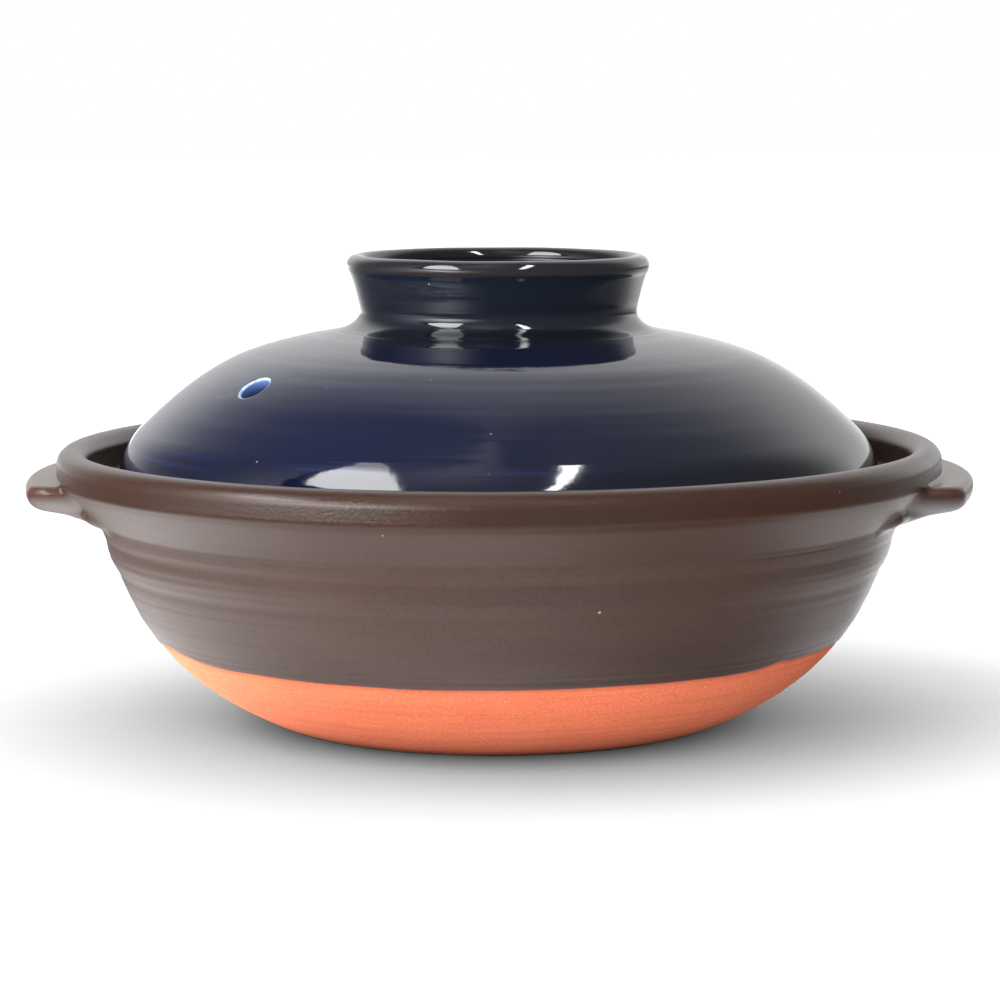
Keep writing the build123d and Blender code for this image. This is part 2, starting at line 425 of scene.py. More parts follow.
def lug_field(t, r, z, sunk):
    """Below zero inside the lug and its fillets; t is the angle from the lug's middle."""
    y = np.abs(r * np.sin(t))
    half = LUG_W - 13.0 * smooth(73.5, 64.0, z)
    plan = round_and(r - LUG_R + 0.35 * np.sin(3.0 * t + 0.6), y - half, 6.5)
    crown = 0.22 * np.cos(t * 6.0)
    top = z - LUG_TOP - crown + 0.25 * smooth(139, 146, r)
    slope = (LUG_LOW - LUG_ROOT) / (LUG_R - 118.0)
    low = (LUG_LOW + (r - LUG_R) * slope - z) * math.cos(math.atan(slope))
    lug = round_and(round_and(plan, top, 2.4), low, 4.8)
    root = 1.5 + 2.0 * (1 - smooth(65.0, 72.0, z))
    return round_or(lug, sunk, root)


def smear(t, r, z):
    """Clay pressed into the corner under the collar, between the lug's ends, in mm."""
    ends = 1 - smooth(43.0, 49.0, np.abs(r * np.sin(t)))
    return 2.5 * np.exp(-((z - 65.3) / 2.6) ** 2) * ends


def nets(field, lo, hi, count):
    """Surface nets of field below zero on a regular grid. Returns points in grid space and quads."""
    ax = [np.linspace(l, h, c) for l, h, c in zip(lo, hi, count)]
    g = np.meshgrid(*ax, indexing="ij")
    v = field(*g)
    n0, n1, n2 = v.shape
    s = v < 0
    cells = np.zeros((n0 - 1, n1 - 1, n2 - 1), bool)
    corner = [s[a:n0 - 1 + a, b:n1 - 1 + b, c:n2 - 1 + c] for a in (0, 1) for b in (0, 1) for c in (0, 1)]
    tot = sum(c.astype(int) for c in corner)
    cells = (tot > 0) & (tot < 8)
    idx = -np.ones(cells.shape, int)
    idx[cells] = np.arange(cells.sum())
    acc = np.zeros((cells.sum(), 3)); cnt = np.zeros(cells.sum())
    where = np.argwhere(cells)
    off = [(a, b, c) for a in (0, 1) for b in (0, 1) for c in (0, 1)]
    for o0 in off:
        for k in range(3):
            if o0[k]:
                continue
            o1 = list(o0); o1[k] = 1
            i0 = where + o0; i1 = where + o1
            a = v[i0[:, 0], i0[:, 1], i0[:, 2]]; b = v[i1[:, 0], i1[:, 1], i1[:, 2]]
            cross = (a < 0) != (b < 0)
            t = np.where(cross, a / np.where(cross, a - b, 1), 0)
            p = where + np.array(o0, float)
            p[:, k] += t
            acc[cross] += p[cross]; cnt[cross] += 1
    pts = acc / cnt[:, None]
    quads = []
    for k in range(3):
        a = s.take(range(0, s.shape[k] - 1), k); b = s.take(range(1, s.shape[k]), k)
        e = np.argwhere(a != b)
        i, j = (k + 1) % 3, (k + 2) % 3
        ok = (e[:, i] > 0) & (e[:, i] < s.shape[i] - 1) & (e[:, j] > 0) & (e[:, j] < s.shape[j] - 1)
        e = e[ok]
        inside_first = a[e[:, 0], e[:, 1], e[:, 2]]
        q = []
        for di, dj in ((-1, -1), (0, -1), (0, 0), (-1, 0)):
            c = e.copy(); c[:, i] += di; c[:, j] += dj
            q.append(idx[c[:, 0], c[:, 1], c[:, 2]])
        q = np.stack(q, 1)
        q[~inside_first] = q[~inside_first][:, ::-1]
        quads.append(q)
    step = [(h - l) / (c - 1) for l, h, c in zip(lo, hi, count)]
    return np.array(lo) + pts * np.array(step), np.concatenate(quads)


def make_lug(name, middle):
    lo, hi, count = (math.radians(-25.5), 116.5, 54.0), (math.radians(25.5), 147.0, 83.5), (212, 56, 56)

    def field(t, r, z):
        base = bowl_distance_quick(r, z)
        f = lug_field(t, r, z, base + 0.12 - smear(t, r, z))
        back = -(base + 2.2)
        f = np.maximum(f, back)
        # the hidden flange ends a little way round the fillets
        f = np.maximum(f, np.abs(t) * 132 - 24.2 * math.pi / 180 * 132)
        f = np.maximum(f, z - 80.6)
        # and stays within the clay of the ledge's wall
        f = np.maximum(f, 127.5 - r - 1.2 * np.maximum(0.0, 72.0 - z))
        return np.maximum(f, 55.5 - z)

    pts, quads = nets(field, lo, hi, count)
    for _ in range(4):
        f = field(*pts.T)
        g = []
        for k, h in enumerate((4e-4, 0.05, 0.05)):
            d = np.zeros(3); d[k] = h
            g.append((field(*(pts + d).T) - field(*(pts - d).T)) / (2 * h))
        g = np.stack(g, 1)
        g[:, 0] /= pts[:, 1]
        n2 = np.maximum((g ** 2).sum(1), 0.05)
        stepv = np.clip(-f / n2, -0.4, 0.4)[:, None] * g
        stepv[:, 0] /= pts[:, 1]
        pts = pts + stepv
    angle = pts[:, 0] + middle
    xyz = np.c_[pts[:, 1] * np.cos(angle), pts[:, 1] * np.sin(angle), pts[:, 2]]
    o = mesh_object(name, xyz, quads.tolist())
    me = o.data
    proud = bowl_distance_quick(pts[:, 1], pts[:, 2]) - smear(*pts.T)
    attribute(o, "lug", smooth(0.4, 2.2, proud))
    attribute(o, "glaze", np.full(len(me.vertices), 50.0))
    attribute(o, "inside", np.zeros(len(me.vertices)))
    return o


handle_right = make_lug("handle_right", 0.0)
handle_left = make_lug("handle_left", math.pi)
for o in (handle_right, handle_left):
    attribute(o, "thin", edge_curvature(o, 2))
    print(o.name, len(o.data.polygons))


# ------------------------------------------------------------------ lid
LEAN = 0.0050          # the loose lid sits a little high on its left


def lean(verts):
    """The lid sits a third of a degree askew on its ledge; the foot itself stays where it is."""
    v = np.array(verts, float)
    v[:, 2] -= LEAN * v[:, 0] * smooth(73.5, 90.0, v[:, 2])
    return v


DOME = [
    (48.5, 119.66), (53.7, 118.75), (58.9, 117.85), (64.5, 116.6), (70.3, 115.1), (75.0, 113.6), (79.5, 111.95),
    (83.88, 109.85), (88.09, 107.5), (91.65, 105.2), (95.07, 102.8), (98.12, 100.4), (100.99, 98.0),
    (103.76, 95.6), (106.3, 93.25), (108.1, 91.5), (109.8, 89.85), (111.2, 88.3), (112.4, 86.7),
    (113.35, 85.1), (114.15, 83.4), (114.9, 81.4), (115.6, 79.4), (116.3, 77.2), (117.0, 74.9),
    (117.7, 72.7),
]
dome_out = spline([(0, 119.72), (20, 119.72), (40.0, 119.72)] + DOME, 0.82)
foot = joined(
    arc((115.9, 72.7), 1.8, 0, -90, 0.4), [(113.6, 70.9)], arc((112.4, 72.4), 1.5, -90, -165, 0.4)
)
DOME_IN = [
    (110.9, 72.9), (108.9, 79.6), (105.6, 84.6), (98.0, 91.9), (89.0, 98.7), (78.0, 104.6), (64.0, 109.4),
    (40.0, 112.6),
]
dome_in = joined(spline(DOME_IN, 1.5, last=(-1.0, 0.02)), along([(40.0, 112.6), (0, 112.6)], 3.0))
lid_profile = joined(dome_out, foot, dome_in)[::-1]     # from the underside's middle up and over

VENT_AZ = math.radians(220.6)
VENT_TILT = math.radians(57.0)
VENT_R, VENT_EDGE = 4.5, 1.05
N_LID = 300
phase = VENT_AZ - (2 * math.pi / N_LID) * round((VENT_AZ + math.pi / 2) / (2 * math.pi / N_LID))

p = np.asarray(lid_profile)
theta = phase + np.arange(N_LID) * 2 * math.pi / N_LID
rows = p[1:-1]
R = np.repeat(rows[:, :1], N_LID, 1)
Z = np.repeat(rows[:, 1:], N_LID, 1)
s_lid = np.r_[0, np.cumsum(np.hypot(*np.diff(rows, axis=0).T))]
lid_n = normals_2d(rows[::-1])[::-1]        # outward
swell = Noise(77, waves=7, lowest=1, highest=5, k=0.35)
outer_i = int(np.argmin(np.abs(rows - np.array([117.7, 72.7])).sum(1)))
# faint throwing rings in the dome, under the glaze
ring = np.zeros(len(rows))
rng = np.random.default_rng(5)
for s_mid in np.arange(s_lid[outer_i] + 4, s_lid[-1] - 46, 5.2):
    q = s_mid + rng.uniform(-1.4, 1.4)
    ring += rng.uniform(0.010, 0.030) * np.exp(-((s_lid - q) / rng.uniform(1.4, 2.4)) ** 2)
bump = ring[:, None] * (1 + 0.35 * swell(theta)[None, :]) + 0.03 * swell(theta, 1.0)[None, :] * smooth(
    s_lid[outer_i] + 6, s_lid[outer_i] + 40, s_lid
)[:, None] * (1 - smooth(s_lid[-1] - 70, s_lid[-1] - 50, s_lid))[:, None]
bump[:outer_i] = 0
R = R + lid_n[:, :1] * bump
Z = Z + lid_n[:, 1:] * bump
grid = np.stack([R * np.cos(theta)[None], R * np.sin(theta)[None], Z], -1)
n_rows = len(rows)
verts = list(grid.reshape(-1, 3))
south, north = len(verts), len(verts) + 1
verts += [np.array((0, 0, rows[0, 1])), np.array((0, 0, rows[-1, 1]))]

az = np.array([math.cos(VENT_AZ), math.sin(VENT_AZ), 0.0])
axis = az * math.cos(VENT_TILT) + np.array([0, 0, math.sin(VENT_TILT)])
side = np.cross([0, 0, 1.0], az)
e1, e2 = side, np.cross(axis, side)         # e2 points up the dome
centre = az * 89.6 + np.array([0, 0, 106.4])


def on_surface(lateral, first, last):
    """Points of the profile's rows first..last, turned about Z, that lie on lines along the vent's axis."""
    seg = rows[first:last + 1]
    a, b = lateral[:, 0], lateral[:, 1]
    base = centre + a[:, None] * e1 + b[:, None] * e2
    lo_h, hi_h = np.full(len(base), -14.0), np.full(len(base), 8.0)
    zr = seg[np.argsort(seg[:, 0])]
    def over(h):
        q = base + h[:, None] * axis
        return q[:, 2] - np.interp(np.hypot(q[:, 0], q[:, 1]), zr[:, 0], zr[:, 1])
    for _ in range(48):
        mid = (lo_h + hi_h) / 2
        up = over(mid) > 0
        hi_h = np.where(up, mid, hi_h)
        lo_h = np.where(up, lo_h, mid)
    h = (lo_h + hi_h) / 2
    return base + h[:, None] * axis, h


jc = int(round((VENT_AZ - phase) / (2 * math.pi / N_LID))) % N_LID
HALF = 6


def window(first, last):
    """The row where the vent's axis meets the stretch first..last of the profile."""
    seg = rows[first:last + 1]
    _, h = on_surface(np.zeros((1, 2)), first, last)
    q = centre + h[0] * axis
    i = first + int(np.argmin(np.hypot(seg[:, 0] - math.hypot(q[0], q[1]), seg[:, 1] - q[2])))
    return i


top_i = window(outer_i + 30, n_rows - 30)
in_last = int(np.argmin(np.abs(rows[:outer_i] - np.array([108.9, 79.6])).sum(1)))
low_i = window(20, in_last)
ho = int(round(10.2 / 0.82))
hl = int(round(10.2 / 1.5))
cut = set()
faces = []
for i in range(n_rows - 1):
    a, b = i * N_LID, (i + 1) * N_LID
    for j in range(N_LID):
        dj = (j - jc + N_LID // 2) % N_LID - N_LID // 2
        if -HALF <= dj < HALF and (
            top_i - ho <= i < top_i + ho or low_i - hl <= i < low_i + hl
        ):
            continue
        k = (j + 1) % N_LID
        faces.append((a + j, a + k, b + k, b + j))
for j in range(N_LID):
    k = (j + 1) % N_LID
    faces.append((south, k, j))
    faces.append((north, (n_rows - 1) * N_LID + j, (n_rows - 1) * N_LID + k))


def boundary(i0, h):
    """Grid vertices round a window, as indices."""
    out = []
    for dj in range(-HALF, HALF):
        out.append((i0 - h) * N_LID + (jc + dj) % N_LID)
    for di in range(-h, h):
        out.append((i0 + di) * N_LID + (jc + HALF) % N_LID)
    for dj in range(HALF, -HALF, -1):
        out.append((i0 + h) * N_LID + (jc + dj) % N_LID)
    for di in range(h, -h, -1):
        out.append((i0 + di) * N_LID + (jc - HALF) % N_LID)
    return out


def strips(a, b, flip=False):
    n = len(a)
    for k in range(n):
        m = (k + 1) % n
        f = (a[k], a[m], b[m], b[k])
        faces.append(f[::-1] if flip else f)


def patch(i0, h, first, last, edge_r, sign):
    """Rings from a window's edge to a circle about the vent's axis; returns the last ring and its angles."""
    ring_i = boundary(i0, h)
    P = np.array([verts[k] for k in ring_i])
    d = P - centre
    lat = np.c_[d @ e1, d @ e2]
    ang = np.arctan2(lat[:, 1], lat[:, 0])
    target = edge_r * np.c_[np.cos(ang), np.sin(ang)]
    on, hh = on_surface(lat, first, last)
    off = P - on                                  # the faint rings fade out towards the hole
    previous = ring_i
    layers = 9
    for t in range(1, layers + 1):
        u = t / layers
        u = 1 - (1 - u) ** 1.35
        q, _ = on_surface(lat * (1 - u) + target * u, first, last)
        q = q + off * (1 - u)
        ids = list(range(len(verts), len(verts) + len(q)))
        verts.extend(q)
        strips(previous, ids, flip=sign < 0)
        previous = ids
    return previous, ang


outer_ring, ang_o = patch(top_i, ho, outer_i, n_rows - 1, VENT_R + VENT_EDGE, 1)
inner_ring, ang_i = patch(low_i, hl, 0, in_last, VENT_R + VENT_EDGE, 1)


def rim_rows(ring_ids, edge_sign):
    """Rolls the surface's edge round into the hole: a quarter turn that follows the surface's own height."""
    P = np.array([verts[k] for k in ring_ids])
    d = P - centre
    lat = np.c_[d @ e1, d @ e2]
    hgt = d @ axis
    u = lat / np.linalg.norm(lat, axis=1)[:, None]
    out = []
    for a in np.radians([15, 30, 45, 60, 75, 90]):
        rad = VENT_R + VENT_EDGE * (1 - math.sin(a))
        h = hgt - edge_sign * VENT_EDGE * (1 - math.cos(a))
        q = centre + rad * (u[:, :1] * e1 + u[:, 1:] * e2) + h[:, None] * axis
        ids = list(range(len(verts), len(verts) + len(q)))
        verts.extend(q)
        out.append(ids)
    return out


prev = outer_ring
for ids in rim_rows(outer_ring, 1):
    strips(prev, ids)
    prev = ids
top_mouth = prev
prev = inner_ring
for ids in rim_rows(inner_ring, -1):
    strips(prev, ids)
    prev = ids
low_mouth = prev
# the wall of the hole: the outer mouth's ring stepped down to the inner mouth's height, then a stitch
P = np.array([verts[k] for k in top_mouth])
d = P - centre
lat = np.c_[d @ e1, d @ e2]
hgt = d @ axis
Q = np.array([verts[k] for k in low_mouth])
dq = Q - centre
low_ang = np.arctan2(dq @ e2, dq @ e1)
low_h = dq @ axis
order = np.argsort(low_ang)
at = np.interp(np.arctan2(lat[:, 1], lat[:, 0]), low_ang[order], low_h[order], period=2 * math.pi)
prev = top_mouth
for t in (0.2, 0.4, 0.6, 0.8, 0.93):
    q = P + ((at - hgt) * t)[:, None] * axis
    ids = list(range(len(verts), len(verts) + len(q)))
    verts.extend(q)
    strips(prev, ids)
    prev = ids


def stitch(a, b):
    """Triangles between two rings about the vent's axis that have different counts."""
    def angles(ids):
        dd = np.array([verts[k] for k in ids]) - centre
        return np.arctan2(dd @ e2, dd @ e1)
    A, B = angles(a), angles(b)
    oa, ob = np.argsort(A), np.argsort(B)
    a = [a[k] for k in oa]; b = [b[k] for k in ob]
    A, B = A[oa], B[ob]
    i = j = 0
    na, nb = len(a), len(b)
    while i < na or j < nb:
        next_a = A[(i + 1) % na] + (2 * math.pi if i + 1 >= na else 0)
        next_b = B[(j + 1) % nb] + (2 * math.pi if j + 1 >= nb else 0)
        if j >= nb or (i < na and next_a <= next_b):
            faces.append((a[i % na], a[(i + 1) % na], b[j % nb]))
            i += 1
        else:
            faces.append((a[i % na], b[(j + 1) % nb], b[j % nb]))
            j += 1


stitch(prev, low_mouth)
V = np.array(verts)
# The surface, before it leans: distance from the vent's edge in mm, for the thin glaze there, and depth down the
# hole, for the painted light and shade inside it
d = V - centre
rad = np.hypot(d @ e1, d @ e2)
near = np.abs(d @ axis) < 16
vent_near = np.where(near, rad - VENT_R, 60.0)
vent_deep = np.where(near & (rad < VENT_R + 0.3), np.maximum(0.0, -VENT_EDGE - d @ axis), 0.0)
lid = mesh_object("lid_shell", lean(V), faces)
import bmesh
bm = bmesh.new(); bm.from_mesh(lid.data)
bmesh.ops.recalc_face_normals(bm, faces=bm.faces)
bm.to_mesh(lid.data); bm.free()
lid.data.polygons.foreach_set("use_smooth", np.ones(len(lid.data.polygons), bool))
attribute(lid, "vent", vent_near)
attribute(lid, "deep", vent_deep)
under_flag = np.zeros(len(V)); under_flag[: outer_i * N_LID] = 1.0; under_flag[south] = 1.0
attribute(lid, "under", under_flag)
attribute(lid, "thin", edge_curvature(lid))
print("lid faces", len(lid.data.polygons))

# ------------------------------------------------------------------ knob
knob_out = spline(
    [(50.4, 119.15), (49.2, 119.62), (48.0, 119.98), (46.6, 120.5), (45.1, 121.35), (43.8, 122.4), (42.9, 123.6),
     (42.5, 125.2), (42.62, 126.8), (43.0, 128.4), (43.45, 130.2), (44.05, 132.6), (44.75, 135.0), (45.35, 136.7),
     (45.72, 137.35), (46.02, 138.0), (46.22, 138.75)],
    0.42, first=(-1.0, 0.30), last=(0.30, 1.0),
)
knob_lip = arc((43.1, 139.3), 3.18, -8, 188, 0.42)
knob_in = spline(
    [knob_lip[-1], (39.3, 136.6), (38.1, 132.6), (37.0, 128.4), (35.9, 124.9), (33.9, 121.7), (31.0, 120.3), (27.5, 119.95),
     (20.0, 119.9)],
    0.6, last=(-1.0, 0.0),
)
knob_floor = along([(20.0, 119.9), (0, 119.9)], 2.0)
knob_under = along([(0, 119.0), (49.6, 118.6), (50.4, 119.15)], 2.4)
knob_profile = joined(knob_under, knob_out, knob_lip, knob_in, knob_floor)
knob_wobble = Noise(91, waves=6, lowest=2, highest=9, k=0.4)


def knob_shape(theta, rows):
    up = smooth(121, 139, rows[:, 1])[:, None]
    r = rows[:, :1] + 0.07 * knob_wobble(theta)[None] * up
    z = rows[:, 1:] + 0.05 * knob_wobble(theta + 1.0)[None] * up + 0 * r
    return r, z


kv, kf, _ = lathe(knob_profile, 208, phase=-math.pi / 2, shape=knob_shape)
knob = mesh_object("lid_knob_ring", lean(kv), kf)
attribute(knob, "vent", np.full(len(kv), 60.0))
attribute(knob, "deep", np.zeros(len(kv)))
attribute(knob, "under", np.zeros(len(kv)))
attribute(knob, "thin", edge_curvature(knob))


# ------------------------------------------------------------------ materials
class Net:
    """Short names for the nodes of one material."""

    def __init__(self, tree):
        self.tree, self.nodes, self.links = tree, tree.nodes, tree.links

    def add(self, kind, **props):
        n = self.nodes.new(kind)
        for k, v in props.items():
            setattr(n, k, v)
        return n

    def put(self, socket, value):
        if hasattr(value, "is_linked") or isinstance(value, bpy.types.NodeSocket):
            self.links.new(value, socket)
        elif value is not None:
            socket.default_value = value

    def math(self, op, a, b=None, c=None, clamp=False):
        n = self.add("ShaderNodeMath", operation=op, use_clamp=clamp)
        for s, v in zip(n.inputs, (a, b, c)):
            self.put(s, v)
        return n.outputs[0]

    def attr(self, name):
        return self.add("ShaderNodeAttribute", attribute_name=name).outputs["Fac"]

    def coords(self):
        return self.add("ShaderNodeTexCoord").outputs["Object"]

    def xyz(self, v):
        n = self.add("ShaderNodeSeparateXYZ")
        self.put(n.inputs[0], v)
        return n.outputs

    def vec(self, x, y, z):
        n = self.add("ShaderNodeCombineXYZ")
        for s, v in zip(n.inputs, (x, y, z)):
            self.put(s, v)
        return n.outputs[0]

    def scale(self, v, x, y, z):
        n = self.add("ShaderNodeMapping")
        self.put(n.inputs["Vector"], v)
        n.inputs["Scale"].default_value = (x, y, z)
        return n.outputs[0]

    def noise(self, v, scale, detail=2.0, rough=0.5, distort=0.0):
        n = self.add("ShaderNodeTexNoise")
        self.put(n.inputs["Vector"], v)
        n.inputs["Scale"].default_value = scale
        n.inputs["Detail"].default_value = detail
        n.inputs["Roughness"].default_value = rough
        n.inputs["Distortion"].default_value = distort
        return n.outputs["Fac"]

    def step(self, v, a, b, lo=0.0, hi=1.0):
        n = self.add("ShaderNodeMapRange", interpolation_type="SMOOTHSTEP")
        self.put(n.inputs["Value"], v)
        n.inputs["From Min"].default_value, n.inputs["From Max"].default_value = a, b
        n.inputs["To Min"].default_value, n.inputs["To Max"].default_value = lo, hi
        return n.outputs["Result"]

    def mix(self, f, a, b, mode="MIX"):
        n = self.add("ShaderNodeMix", data_type="RGBA", blend_type=mode)
        self.put(n.inputs["Factor"], f)
        self.put(n.inputs["A"] if False else n.inputs[6], a if not isinstance(a, tuple) else (*a, 1.0)[:4])
        self.put(n.inputs[7], b if not isinstance(b, tuple) else (*b, 1.0)[:4])
        return n.outputs[2]

    def dots(self, v, scale, share, size):
        """Sparse round dots: 1 in a dot. share is the share of cells that have one."""
        n = self.add("ShaderNodeTexVoronoi", feature="F1", voronoi_dimensions="3D")
        self.put(n.inputs["Vector"], v)
        n.inputs["Scale"].default_value = scale
        pick = self.xyz(n.outputs["Color"])
        here = self.math("LESS_THAN", pick[0], share)
        rad = self.math("MULTIPLY_ADD", pick[1], size * 0.7, size * 0.5)
        near = self.math("SUBTRACT", rad, n.outputs["Distance"])
        soft = self.step(near, 0.0, size * 0.5)
        return self.math("MULTIPLY", here, soft)

    def bump(self, height, strength, distance, under=None):
        n = self.add("ShaderNodeBump")
        n.inputs["Strength"].default_value = strength
        n.inputs["Distance"].default_value = distance
        self.put(n.inputs["Height"], height)
        if under is not None:
            self.put(n.inputs["Normal"], under)
        return n.outputs[0]


def srgb(r, g, b):
    return tuple(((c / 255 + 0.055) / 1.055) ** 2.4 if c > 10 else c / 255 / 12.92 for c in (r, g, b))


def material(name):
    m = bpy.data.materials.new(name)
    m.use_nodes = True
    net = Net(m.node_tree)
    return m, net, m.node_tree.nodes["Principled BSDF"]


# brown satin glaze
brown, n, bsdf = material("brown_satin_glaze")
o = n.coords()
x, y, z = n.xyz(o)
cloud = n.noise(n.scale(o, 1, 1, 4), 20, 3, 0.6)
dry = n.mix(n.step(z, 0.060, 0.066), (0.0565, 0.0280, 0.0205), (0.0475, 0.0207, 0.0141))
wet = n.mix(n.step(z, 0.0722, 0.0744), dry, (0.0270, 0.0066, 0.0009))
side = n.mix(n.step(z, 0.0706, 0.0734), (0.0420, 0.0215, 0.0165), (0.0560, 0.0165, 0.0070))
# painted highlight: the lug's top face is painted lighter, standing in for the light falling on it from above
side = n.mix(n.step(z, 0.0750, 0.0757), side, (0.1000, 0.0640, 0.0480))
base = n.mix(n.attr("lug"), wet, side)
base = n.mix(n.step(cloud, 0.35, 0.7, 0.0, 0.30), base, (0.030, 0.0135, 0.0090))
speck = n.noise(o, 1100, 2, 0.65)
satin = n.math("MAXIMUM", n.step(z, 0.0735, 0.0755), n.attr("lug"))
grain = n.math("MULTIPLY_ADD", satin, -0.30, 0.45)
base = n.mix(n.math("MULTIPLY", n.step(speck, 0.52, 0.70), grain), base, (0.082, 0.044, 0.028))
base = n.mix(n.math("MULTIPLY", n.step(speck, 0.46, 0.32), grain), base, (0.022, 0.010, 0.006))
thin = n.math("MULTIPLY_ADD", n.noise(o, 60, 2), 120.0, n.attr("thin"))
base = n.mix(n.step(thin, 300.0, 700.0, 0.0, 0.40), base, (0.062, 0.024, 0.011))
edge = n.step(n.attr("glaze"), 0.3, 2.0, 1.0, 0.0)
base = n.mix(n.math("MULTIPLY", edge, 0.7), base, (0.060, 0.020, 0.024))
pins = n.dots(o, 240, 0.03, 0.11)
base = n.mix(n.math("MULTIPLY", pins, 0.75), base, srgb(190, 168, 152))
n.put(bsdf.inputs["Base Color"], base)
n.put(bsdf.inputs["Roughness"], n.math("SUBTRACT", n.step(speck, 0.35, 0.65, 0.31, 0.37), n.math("MULTIPLY", satin, 0.03)))
bsdf.inputs["IOR"].default_value = 1.66
lines = n.noise(n.scale(o, 1, 1, 26), 26, 2, 0.55)
b1 = n.bump(lines, 0.12, 0.0004)
b2 = n.bump(speck, 0.26, 0.00025, b1)
n.put(bsdf.inputs["Normal"], b2)

# bare clay
clay, n, bsdf = material("bare_orange_clay")
o = n.coords()
base = n.mix(n.noise(o, 45, 3, 0.6), srgb(234, 116, 80), srgb(247, 133, 96))
speck = n.noise(o, 1300, 2, 0.6)
base = n.mix(n.step(speck, 0.54, 0.72, 0.0, 0.45), base, srgb(248, 172, 134))
base = n.mix(n.step(speck, 0.44, 0.28, 0.0, 0.45), base, srgb(188, 84, 54))
band = n.noise(n.scale(o, 1, 1, 40), 22, 3, 0.6)
base = n.mix(n.step(band, 0.45, 0.7, 0.0, 0.25), base, srgb(196, 96, 62))
edge = n.step(n.attr("glaze"), -2.2, -0.1, 0.0, 1.0)
base = n.mix(n.math("MULTIPLY", edge, 0.45), base, srgb(150, 72, 52))
n.put(bsdf.inputs["Base Color"], base)
bsdf.inputs["Roughness"].default_value = 0.92
bsdf.inputs["Specular IOR Level"].default_value = 0.25
b1 = n.bump(band, 0.5, 0.0005)
b2 = n.bump(n.noise(o, 1400, 3, 0.75), 0.55, 0.00035, b1)
n.put(bsdf.inputs["Normal"], b2)

# navy gloss glaze
navy, n, bsdf = material("navy_gloss_glaze")
o = n.coords()
x, y, z = n.xyz(o)
cloud = n.noise(n.scale(o, 1, 1, 3), 13, 3, 0.55)
# painted light and shade: the glaze's tone shifts from the lid's left to its right, towards +X, standing in for how
# the light falls across it
side_light_shade = n.step(n.math("MULTIPLY_ADD", cloud, 0.09, x), 0.005, 0.150)
base = n.mix(side_light_shade, (0.0036, 0.0058, 0.0250), (0.0095, 0.0108, 0.0180))
base = n.mix(n.step(cloud, 0.45, 0.75, 0.0, 0.4), base, (0.0032, 0.0052, 0.0150))
streak = n.noise(n.scale(o, 1, 1, 60), 9, 3, 0.6)
low = n.math("MULTIPLY", n.step(z, 0.098, 0.084), n.step(x, 0.08, -0.02))
base = n.mix(n.math("MULTIPLY", n.step(streak, 0.50, 0.72, 0.0, 0.7), low), base, (0.018, 0.024, 0.125))
# painted shade: the flat land round the knob's foot is painted darker and greyer, where the knob's shade and
# reflection fall
high = n.step(z, 0.1176, 0.1190)
base = n.mix(n.math("MULTIPLY", high, 0.9), base, (0.0045, 0.0065, 0.0110))
thin = n.math("MULTIPLY_ADD", n.noise(o, 160, 2), 80.0, n.attr("thin"))
brk = n.math("MULTIPLY", n.step(thin, 230.0, 520.0, 0.0, 0.4), n.step(n.attr("vent"), 2.5, 4.0))
base = n.mix(brk, base, (0.028, 0.016, 0.010))
ring = n.step(n.math("MULTIPLY_ADD", n.noise(o, 420, 2), 0.7, n.attr("vent")), 1.35, 0.95)
ring = n.math("MULTIPLY", ring, n.step(n.noise(o, 700, 2), 0.30, 0.55, 0.55, 1.0))
base = n.mix(ring, base, (0.40, 0.54, 0.70))
hole = n.step(n.attr("vent"), 0.30, 0.02)
# painted light and shade in the vent: down the hole the colour goes from a lit blue at the mouth to near black deep
# inside
inner = n.mix(n.step(n.attr("deep"), 0.3, 4.2), (0.105, 0.165, 0.400), (0.003, 0.005, 0.012))
base = n.mix(hole, base, inner)
pins = n.dots(o, 330, 0.035, 0.10)
base = n.mix(n.math("MULTIPLY", pins, 0.8), base, srgb(176, 178, 196))
n.put(bsdf.inputs["Base Color"], base)
bsdf.inputs["Roughness"].default_value = 0.07
bsdf.inputs["IOR"].default_value = 1.5
b1 = n.bump(n.noise(n.scale(o, 1, 1, 10), 24, 2, 0.5), 0.10, 0.0008)
b2 = n.bump(n.noise(o, 260, 1, 0.5), 0.05, 0.0004, b1)
n.put(bsdf.inputs["Normal"], b2)

# bare clay of the lid's foot
foot_clay = clay


def assign(obj, mats, chooser=None):
    for m in mats:
        obj.data.materials.append(m)
    if chooser is not None:
        obj.data.polygons.foreach_set("material_index", chooser(obj).astype(np.int32))


def by_rows(obj):
    """Faces below the glaze line's row are bare clay."""
    idx = np.zeros(len(obj.data.polygons))
    i0 = bowl_shape.i0
    idx[: i0 * N_BOWL] = 1
    idx[-2 * N_BOWL:][0::2] = 1          # the fan at the middle of the base
    return idx


assign(bowl, [brown, clay], by_rows)
for h in (handle_left, handle_right):
    assign(h, [brown])


def foot_faces(obj):
    c = np.zeros(len(obj.data.polygons) * 3)
    obj.data.polygons.foreach_get("center", c)
    c = c.reshape(-1, 3) * 1000
    r = np.hypot(c[:, 0], c[:, 1])
    return ((c[:, 2] < 72.6) & (r > 109)).astype(int)


attribute(lid, "glaze", np.full(len(lid.data.vertices), -20.0))
assign(lid, [navy, foot_clay], foot_faces)
assign(knob, [navy])

# ------------------------------------------------------------------ the frame
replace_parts(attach(bowl, "pot"), "pot_body")
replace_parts(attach(handle_left, "pot"), "left_handle")
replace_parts(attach(handle_right, "pot"), "right_handle")
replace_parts(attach(lid, "lid"), "lid_dome")
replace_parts(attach(knob, "lid"), "lid_knob")

